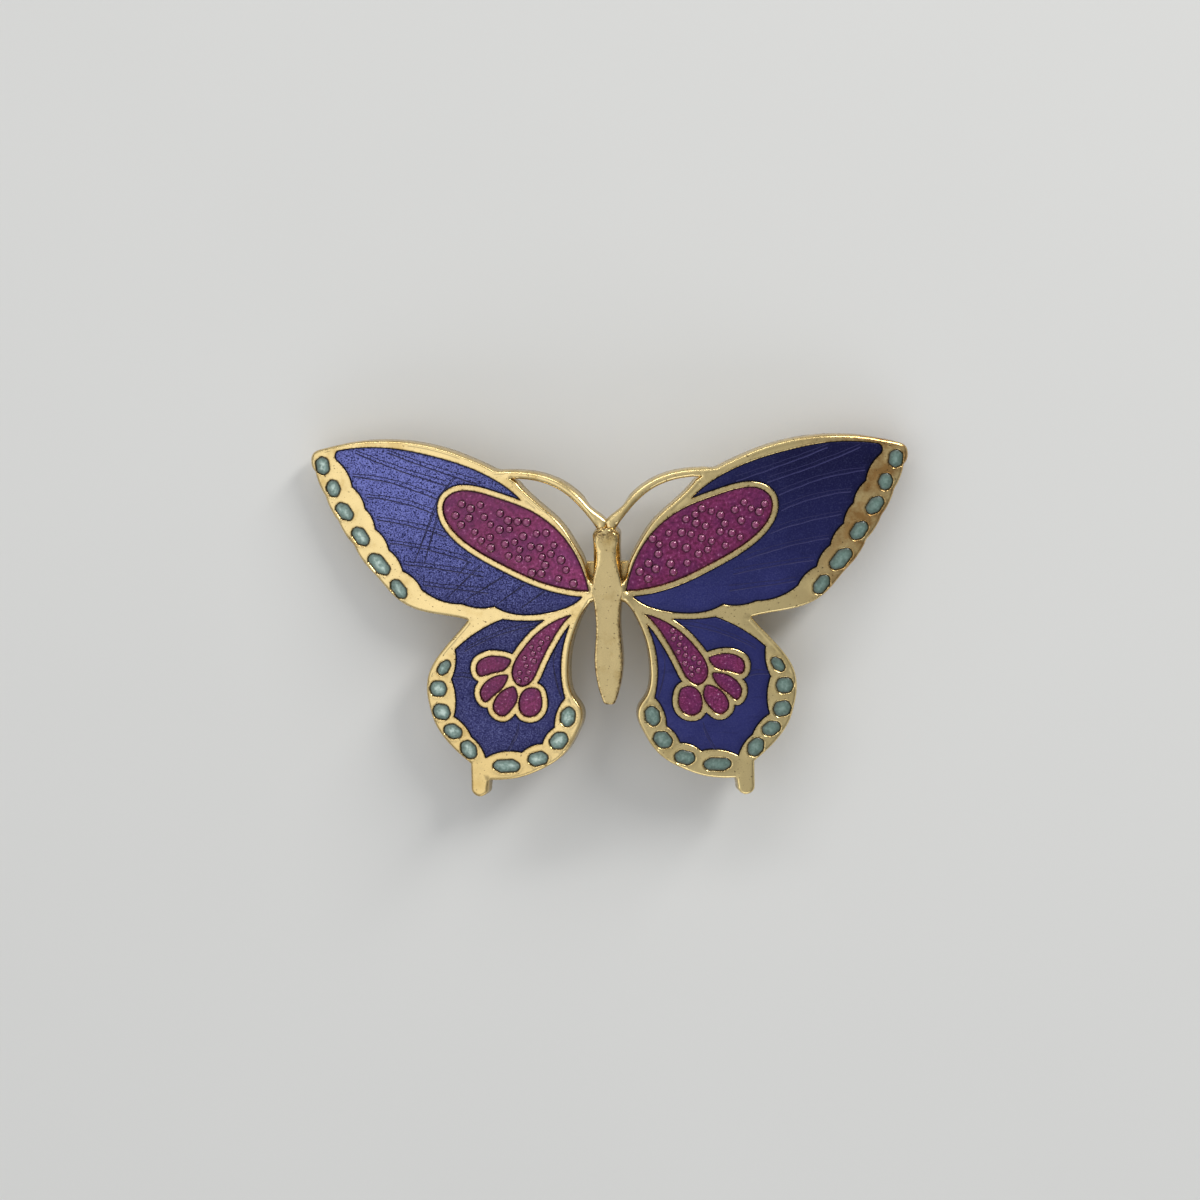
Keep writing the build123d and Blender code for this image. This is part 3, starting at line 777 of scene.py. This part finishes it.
def plate_mesh(outlines):
    """The right half of the plate: rounded edges, sunk fields, and a web up to the body."""
    outer = plate_outline()
    cells = [r for rings in outlines.values() for r in rings]
    owners = [cell for cell, rings in outlines.items() for _ in rings]
    rings = [outer] + cells
    sides = [turn_of(outer)] + [-turn_of(r) for r in cells]
    # A ring inside another belongs to a field with a hole in it, so its metal lies on the other side.
    for number, r in enumerate(cells, 1):
        for host, other in enumerate(cells, 1):
            if host != number and owners[host - 1] == owners[number - 1] and inside(r[:1], [other])[0]:
                sides[number] = -sides[number]
    plan, triangles, finder = net(rings, sides, (0.04, 0.10, 0.19), 0.55, (0.26, 0.32, 0.39))
    outer_finder = EdgeFinder([outer])
    middles = plan[triangles].mean(axis=1)
    within = inside(middles, [outer])
    in_cell = inside(middles, cells)
    metal = turned(triangles[within & ~in_cell], plan)
    sunk = turned(triangles[within & in_cell], plan)
    near = [finder(x, y) for x, y in plan]
    rim = [outer_finder(x, y)[0] for x, y in plan]

    def top(i):
        x, y = plan[i]
        distance, ring, spot = near[i]
        radius = CELL_ROUND
        if ring == 0:
            radius = FEELER_ROUND if on_feeler(spot[0], spot[1]) else RIM_ROUND
        height = CREST + dome(x) - rounding(distance, radius)
        faces_head = spot[1] - y > 0.2 * distance
        if radius == RIM_ROUND and 0.1 < distance < 0.5 and faces_head:
            height -= RIM_GROOVE * hump(distance, 0.32, 0.055)
        if ring > 0 and "spot" in owners[ring - 1]:
            height += SPOT_RING * hump(distance, 0.11, 0.07)
        if abs(y - WAIST_Y - ROOT_Y) < 1.2 and x < 2.6:
            height += WEB_RISE * smooth(1.95 - x) * smooth(distance / 0.4)
        return height

    def bed(i):
        return CREST + dome(plan[i][0]) - CELL_DEPTH - BED_CLEAR

    def back(i):
        return CREST + dome(plan[i][0]) - PLATE + rounding(rim[i], BACK_ROUND)

    mesh, maps = closed_mesh("right plate", plan, metal, sunk, top, bed, back, wall_lean)
    stain = [CLEAN_STAIN] * len(mesh.vertices)
    for i, v in maps[TOP].items():
        distance, ring, _ = near[i]
        stain[v] = (0.25 if ring == 0 else 1.0) * hump(distance, 0.0, 0.09)
    give(mesh, "stain", stain)
    return mesh


# ---- the body
HEAD_Y = 4.85           # top of the head, above the waist
CHEST_Y = 3.1           # middle of the thorax
THORAX_Y = 1.75         # where the abdomen passes into the thorax
BODY_ROWS = (0.03, 0.07, 0.12, 0.17, 0.21, 0.25, 0.30)
CURL_DEPTH = 0.13       # depth of the groove that follows the edge of the head


def body_mesh():
    """Thorax and abdomen: a flat top, a shoulder line and a rounded flank, thicker than the plate."""
    def underside(face):
        spot = face.calc_center_median() / MM
        return face.normal.z < -0.9 and spot.z < CREST - BODY_THICK + 0.05 and abs(spot.x) < 1.3

    ring = resampled(largest(rings_of("butterfly_base", underside)), 0.07)
    for p in ring:
        p[1] -= HEAD_DROP * smooth(p[1] - WAIST_Y - 4.4)
    plan, triangles, finder = net([ring], [turn_of(ring)], BODY_ROWS, 0.2)
    filled = turned(triangles[inside(plan[triangles].mean(axis=1), [ring])], plan)
    edge = [finder(x, y)[0] for x, y in plan]

    def top(i):
        x, y = plan[i]
        y -= WAIST_Y
        thorax = 1.0 / (1.0 + math.exp(-(y - THORAX_Y) * 4.5))
        chest = thorax * hump(y, CHEST_Y, 1.35)
        shoulder = 0.12 + 0.22 * chest
        drop = (0.16 + 0.16 * thorax + 0.25 * chest) * (1 - hump(y, ROOT_Y, 0.6, 4))
        t = min(1.0, edge[i] / shoulder)
        slope = (1 - t) ** 1.25
        curve = 1 - math.sqrt(1 - (1 - t) ** 2)
        flank = drop * (chest * slope + (1 - chest) * curve)
        curl = CURL_DEPTH * hump(edge[i], 0.19, 0.05) * smooth((y - 3.9) / 0.7) * smooth(abs(x) / 0.4)
        worn = (noise.noise(Vector((x * 1.3, y * 1.1, 3.0))) - 1.0) * 0.006 * t
        return CREST + BODY_RISE - flank - curl + worn

    def back(i):
        return CREST - BODY_THICK + rounding(edge[i], BODY_BACK_ROUND)

    mesh, maps = closed_mesh("body", plan, filled, [], top, back, back)
    stain = [CLEAN_STAIN] * len(mesh.vertices)
    for i, v in maps[TOP].items():
        y = plan[i][1] - WAIST_Y
        corner = hump(edge[i], 0.0, 0.16) * (1 - hump(y, ROOT_Y, 0.6, 4))
        stain[v] = min(1.0, corner + hump(y, HEAD_Y, 0.42))
    give(mesh, "stain", stain)
    return mesh


def build_plate(outlines):
    """Wings, feelers and body joined in one mesh, as the object is struck in one piece."""
    right = plate_mesh(outlines)
    left = mirrored(right, "left plate")
    bm = bmesh.new()
    for part in (right, left, body_mesh()):
        bm.from_mesh(part)
    mesh = bpy.data.meshes.new("gilt_butterfly")
    bm.to_mesh(mesh)
    bm.free()
    return piece(mesh, "brooch", GILT, ["butterfly_base"], sharp=50)


# ---- beads and veins, by geometry nodes
class NodeMaker(Nodes):
    """A geometry node tree with named inputs."""

    def __init__(self, name):
        super().__init__(bpy.data.node_groups.new(name, "GeometryNodeTree"))
        self.ids = {}
        self.socket("Geometry", "NodeSocketGeometry")
        self.tree.interface.new_socket("Geometry", in_out="OUTPUT", socket_type="NodeSocketGeometry")
        self.given = self.tree.nodes.new("NodeGroupInput")
        self.result = self.tree.nodes.new("NodeGroupOutput")

    def socket(self, name, kind):
        item = self.tree.interface.new_socket(name, in_out="INPUT", socket_type=kind)
        self.ids[name] = item.identifier

    def painted(self, geometry, material):
        """Ends the tree: real geometry in one material."""
        real = self.add("GeometryNodeRealizeInstances")
        self.link(geometry, real.inputs[0])
        paint = self.add("GeometryNodeSetMaterial")
        paint.inputs["Material"].default_value = material
        self.wire(paint, Geometry=real.outputs[0])
        self.link(paint.outputs[0], self.result.inputs[0])
        return self

    def compared(self, source, operation, limit):
        node = self.add("FunctionNodeCompare", data_type="FLOAT", operation=operation)
        self.link(source, node.inputs[0])
        node.inputs[1].default_value = limit
        return node.outputs[0]

    def baked(self, obj, name, **inputs):
        """The tree's result on an object, as a plain mesh."""
        modifier = obj.modifiers.new("nodes", "NODES")
        modifier.node_group = self.tree
        for key, value in inputs.items():
            modifier[self.ids[key]] = value
        graph = bpy.context.evaluated_depsgraph_get()
        mesh = bpy.data.meshes.new_from_object(obj.evaluated_get(graph))
        mesh.name = name
        obj.modifiers.remove(modifier)
        return mesh


BEAD_SEED = 3           # of the first beaded field; the next ones count up
BEAD_DENSITY = 60.0e6   # per square metre, before the spacing thins them
BEAD_SIZES = (0.85, 1.08)  # smallest and largest, as parts of the radius
BEAD_HEIGHT = 0.78      # of a bead's radius


def bead_tree():
    """Round glass beads scattered over the top of a field, none touching its edge."""
    maker = NodeMaker("glass beads")
    for name in ("Spacing", "Radius"):
        maker.socket(name, "NodeSocketFloat")
    maker.socket("Seed", "NodeSocketInt")
    given = maker.given.outputs
    facing = maker.axes(maker.add("GeometryNodeInputNormal").outputs[0])["Z"]
    edge = maker.add("GeometryNodeInputNamedAttribute", data_type="FLOAT")
    edge.inputs["Name"].default_value = "edge"
    both = maker.add("FunctionNodeBooleanMath", operation="AND")
    maker.link(maker.compared(facing, "GREATER_THAN", 0.8), both.inputs[0])
    maker.link(maker.compared(edge.outputs["Attribute"], "LESS_THAN", 0.01), both.inputs[1])
    scatter = maker.add("GeometryNodeDistributePointsOnFaces", distribute_method="POISSON")
    scatter.inputs["Density Max"].default_value = BEAD_DENSITY
    maker.wire(scatter, Mesh=given["Geometry"], Selection=both.outputs[0],
               Distance_Min=given["Spacing"], Seed=given["Seed"])
    ball = maker.add("GeometryNodeMeshIcoSphere")
    ball.inputs["Subdivisions"].default_value = 3
    maker.wire(ball, Radius=given["Radius"])
    lift = maker.add("ShaderNodeMath", operation="DIVIDE")
    maker.link(maker.axes(maker.add("GeometryNodeInputPosition").outputs[0])["Z"], lift.inputs[0])
    maker.link(given["Radius"], lift.inputs[1])
    marked = maker.add("GeometryNodeStoreNamedAttribute", data_type="FLOAT", domain="POINT")
    marked.inputs["Name"].default_value = "lift"
    maker.wire(marked, Geometry=ball.outputs["Mesh"], Value=lift.outputs[0])
    size = maker.add("FunctionNodeRandomValue", data_type="FLOAT")
    size.inputs[2].default_value, size.inputs[3].default_value = BEAD_SIZES
    flat = maker.add("ShaderNodeCombineXYZ")
    maker.wire(flat, X=size.outputs[1], Y=size.outputs[1])
    flat.inputs["Z"].default_value = BEAD_HEIGHT
    place = maker.add("GeometryNodeInstanceOnPoints")
    maker.wire(place, Points=scatter.outputs["Points"], Instance=marked.outputs[0],
               Rotation=scatter.outputs["Rotation"], Scale=flat.outputs[0])
    return maker.painted(place.outputs[0], BEAD)


def build_beads(fields):
    tree = bead_tree()
    for seed, (field, cell) in enumerate(fields, BEAD_SEED):
        spacing, radius = BEADED[cell]
        mesh = tree.baked(field, field.name.replace("_glass", "_beads"), Seed=seed,
                          Spacing=spacing * MM, Radius=radius * MM)
        piece(mesh, "brooch", BEAD, sharp=80)


# Each vein of a wing: three plan points about the waist, from near the body outwards.
FOREWING_VEINS = [
    ((9.2, 8.4), (12.6, 9.45), (15.7, 10.5)), ((11.4, 8.25), (14.9, 9.3), (18.0, 10.45)),
    ((12.2, 7.3), (15.4, 8.35), (18.3, 8.75)), ((12.35, 6.2), (14.7, 6.95), (17.3, 7.3)),
    ((11.6, 4.6), (13.9, 5.25), (16.6, 5.7)), ((9.7, 2.75), (12.9, 3.6), (15.7, 4.0)),
    ((8.9, 1.75), (11.8, 2.2), (14.6, 2.5)), ((8.6, 0.6), (10.9, 0.8), (13.3, 1.05)),
]
HINDWING_VEINS = [
    ((4.6, -1.75), (7.3, -2.25), (10.4, -3.7)), ((3.75, -3.6), (3.95, -5.0), (3.45, -7.0)),
    ((6.6, -9.2), (6.9, -10.0), (7.5, -11.1)), ((9.9, -5.6), (10.6, -5.5), (11.3, -5.6)),
]
VEIN_APART = 0.14       # half the spacing of the two grooves of a vein
VEIN_WIDTH = 0.055
GLEAM_SHIFT = 0.055     # from a groove's dark side to its bright side
GLEAM_WIDTH = 0.04

# Old scratches across the left forewing: start and end about the waist.
LEFT_SCRATCHES = [
    ((-12.1, 7.2), (-13.9, 2.6)), ((-11.9, 6.9), (-13.2, 2.5)), ((-10.9, 8.7), (-12.2, 7.1)),
    ((-9.1, 2.5), (-11.5, 0.1)), ((-7.6, 1.6), (-10.4, -0.2)), ((-6.0, 1.1), (-8.0, -0.4)),
    ((-4.6, 0.6), (-6.2, -0.6)), ((-10.0, 2.7), (-10.8, 1.6)),
]
SCRATCH_APART = 0.16    # spacing of the two lines of a scratch where it starts; they end together
SCRATCH_WIDTH = 0.05

LINE_STEPS = 24         # straight pieces in every line
LINE_HEIGHT = 0.03
LINE_LIFT = 0.004       # of a line's middle above the glass


def vein_tree(material):
    """A fine rib with a flat top along every curve."""
    maker = NodeMaker("engraved veins")
    maker.socket("Width", "NodeSocketFloat")
    upright = maker.add("GeometryNodeSetCurveNormal", mode="Z_UP")
    profile = maker.add("GeometryNodeCurvePrimitiveQuadrilateral")
    maker.wire(profile, Width=maker.given.outputs["Width"])
    profile.inputs["Height"].default_value = LINE_HEIGHT * MM
    sweep = maker.add("GeometryNodeCurveToMesh")
    sweep.inputs["Fill Caps"].default_value = True
    maker.wire(upright, Curve=maker.given.outputs["Geometry"])
    maker.wire(sweep, Curve=upright.outputs[0], Profile_Curve=profile.outputs[0])
    return maker.painted(sweep.outputs[0], material)


def engraved(curve, points):
    """Adds one line that lies on the blue glass, through plan points about the waist."""
    spline = curve.splines.new("POLY")
    spline.points.add(len(points) - 1)
    for spot, (x, y) in zip(spline.points, points):
        height = CREST + dome(x) - GLASS_DROP["blue"] + LINE_LIFT
        spot.co = (x * MM, (y + WAIST_Y) * MM, height * MM, 1.0)


def baked_lines(curve, width_mm, material):
    path = placed(curve.name, curve)
    mesh = vein_tree(material).baked(path, curve.name + "_lines", Width=width_mm * MM)
    bpy.data.objects.remove(path)
    piece(mesh, "brooch", material, sharp=30)


def new_lines(name):
    curve = bpy.data.curves.new(name, "CURVE")
    curve.dimensions = "3D"
    return curve


def vein_line(ends, side, shift):
    """Points along a vein of one wing, bowed through its middle point and shifted along Y."""
    a, b, c = (np.array(end) for end in ends)
    bow = 2 * b - (a + c) / 2
    line = []
    for k in range(LINE_STEPS + 1):
        t = k / LINE_STEPS
        x, y = (1 - t) ** 2 * a + 2 * t * (1 - t) * bow + t ** 2 * c
        waver = noise.noise(Vector((x * 0.8, y * 3.0 + shift * 9.0, 1.0))) * 0.05
        line.append((side * x, y + shift * (1.2 - 0.5 * t) + waver))
    return line


def scratch_line(start, end, shift):
    """Points along a scratch, shifted along X where it starts only."""
    start, end = np.array(start) + (shift, 0.0), np.array(end)
    return [start + (end - start) * k / LINE_STEPS for k in range(LINE_STEPS + 1)]


def build_veins():
    """Each vein is two dark grooves with a gleam beside the lower one, each scratch two lines."""
    dark = new_lines("wing_veins")
    gleam = new_lines("wing_vein_gleams")
    for side in (1, -1):
        for ends in FOREWING_VEINS + HINDWING_VEINS:
            for apart in (-VEIN_APART, VEIN_APART):
                engraved(dark, vein_line(ends, side, apart))
            engraved(gleam, [(x, y - GLEAM_SHIFT) for x, y in vein_line(ends, side, -VEIN_APART)])
    baked_lines(dark, VEIN_WIDTH, VEIN)
    baked_lines(gleam, GLEAM_WIDTH, VEIN_GLEAM)
    marks = new_lines("wing_scratches")
    for start, end in LEFT_SCRATCHES:
        for shift in (0.0, SCRATCH_APART):
            engraved(marks, scratch_line(start, end, shift))
    baked_lines(marks, SCRATCH_WIDTH, VEIN)


# ---- pin-back
def softened(node, width_mm, body, material):
    """A frame node with its edges rounded as cast or stamped metal has them."""
    mesh = frame["nodes"][node].data.copy()
    mesh.name = node + "_finished"
    bm = bmesh.new()
    bm.from_mesh(mesh)
    bmesh.ops.remove_doubles(bm, verts=bm.verts, dist=WELD)
    bmesh.ops.dissolve_limit(bm, angle_limit=math.radians(1.0), verts=bm.verts, edges=bm.edges)
    bm.to_mesh(mesh)
    bm.free()
    obj = placed(mesh.name, mesh)
    bevel = obj.modifiers.new("edge", "BEVEL")
    bevel.width = width_mm * MM
    bevel.segments = 3
    bevel.limit_method = "ANGLE"
    bevel.angle_limit = math.radians(40)
    graph = bpy.context.evaluated_depsgraph_get()
    result = bpy.data.meshes.new_from_object(obj.evaluated_get(graph))
    result.name = mesh.name
    bpy.data.objects.remove(obj)
    return piece(result, body, material, [node], sharp=35)


def build_pin_back():
    softened("pin_bar", 0.10, "brooch", GILT_BACK)
    softened("pin_joint", 0.06, "brooch", GILT_BACK)
    softened("hinge_rivet", 0.07, "brooch", RIVET)
    softened("catch_housing", 0.06, "brooch", GILT_BACK)
    softened("catch_roller", 0.05, "roller", GILT_BACK)
    softened("pin_stem", 0.04, "stem", WIRE)
    for side in ("right", "left"):
        softened(side + "_solder_pad", 0.12, "brooch", SOLDER)


# ---- studio
VIEW_DISTANCE = 400.0   # from the waist to the lens
VIEW_WIDTH = 85.1       # width of the view at the waist
LEAN_X = math.radians(4.0)  # how far the view leans to the right of straight above
LEAN_Y = math.radians(8.0)  # and towards the head
VIEW_ROLL = math.radians(1.2)
VIEW_SHIFT = 0.53       # the waist stands this far right of the middle of the view
SENSOR_WIDTH = 36.0


def add_floor():
    mesh = bpy.data.meshes.new("floor")
    bm = bmesh.new()
    bmesh.ops.create_grid(bm, x_segments=1, y_segments=1, size=1.5)
    bm.to_mesh(mesh)
    bm.free()
    obj = placed("floor", mesh)
    f = Finish("pale floor", Roughness=0.75)
    f.set("Base Color", f.ramp(f.noise(40.0, 2.0), (0.0, (0.66, 0.66, 0.65)), (1.0, (0.69, 0.69, 0.68))))
    mesh.materials.append(f.material)


def softbox(name, direction, distance, size, watts, colour):
    """A light at a distance in metres from the middle of the scene, facing it."""
    light = bpy.data.lights.new(name, "AREA")
    light.shape = "RECTANGLE"
    light.size, light.size_y = size
    light.energy = watts
    light.color = colour
    obj = placed(name, light)
    obj.location = Vector(direction).normalized() * distance
    obj.rotation_euler = (-obj.location).to_track_quat("-Z", "Y").to_euler()


def add_camera():
    """A long lens that looks straight down but for a small lean."""
    waist = Vector((0, WAIST_Y, CREST)) * MM
    toward = Vector((math.tan(LEAN_X), math.tan(LEAN_Y), 1.0)).normalized()
    right = Vector((0, 1, 0)).cross(toward).normalized()
    up = toward.cross(right)
    right, up = (right * math.cos(VIEW_ROLL) - up * math.sin(VIEW_ROLL),
                 up * math.cos(VIEW_ROLL) + right * math.sin(VIEW_ROLL))
    data = bpy.data.cameras.new("camera")
    data.sensor_width = SENSOR_WIDTH
    data.lens = SENSOR_WIDTH * VIEW_DISTANCE / VIEW_WIDTH
    data.clip_start = 0.01
    obj = placed("camera", data)
    obj.location = waist + toward * VIEW_DISTANCE * MM - right * VIEW_SHIFT * MM
    obj.rotation_euler = Matrix((right, up, toward)).transposed().to_euler()
    bpy.context.scene.camera = obj


def studio():
    """A pale room, lighter overhead and to the left, with a soft window on the left, a fill below,
    a narrow rim light above and a strong upright strip at the upper right."""
    world = bpy.data.worlds.new("studio")
    bpy.context.scene.world = world
    world.use_nodes = True
    nodes = Nodes(world.node_tree)
    way = nodes.axes(nodes.add("ShaderNodeTexCoord").outputs["Generated"])
    overhead = nodes.band(way["Z"], 0.0, 1.0, 0.22, 0.80)
    leftward = nodes.band(way["X"], -0.5, 0.45, 1.05, 0.52)
    background = world.node_tree.nodes["Background"]
    background.inputs["Color"].default_value = (0.96, 0.98, 1.0, 1.0)
    nodes.link(nodes.product(overhead, leftward), background.inputs["Strength"])
    softbox("window", (-0.64, 0.0, 0.77), 0.55, (0.40, 0.55), 0.34, (1.0, 0.98, 0.94))
    softbox("fill", (0.15, -0.86, 0.48), 0.6, (0.50, 0.25), 0.55, (0.97, 0.98, 1.0))
    softbox("rim", (-0.22, 0.80, 0.56), 0.55, (0.50, 0.08), 0.7, (1.0, 0.99, 0.97))
    softbox("strip", (0.58, 0.62, 0.53), 0.55, (0.11, 0.34), 1.6, (1.0, 0.99, 0.96))
    bpy.context.scene.view_settings.view_transform = "Standard"


def main():
    outlines = cell_outlines()
    build_plate(outlines)
    fields = build_enamel(outlines)
    build_beads(fields)
    build_veins()
    build_pin_back()
    add_floor()
    studio()
    add_camera()


main()
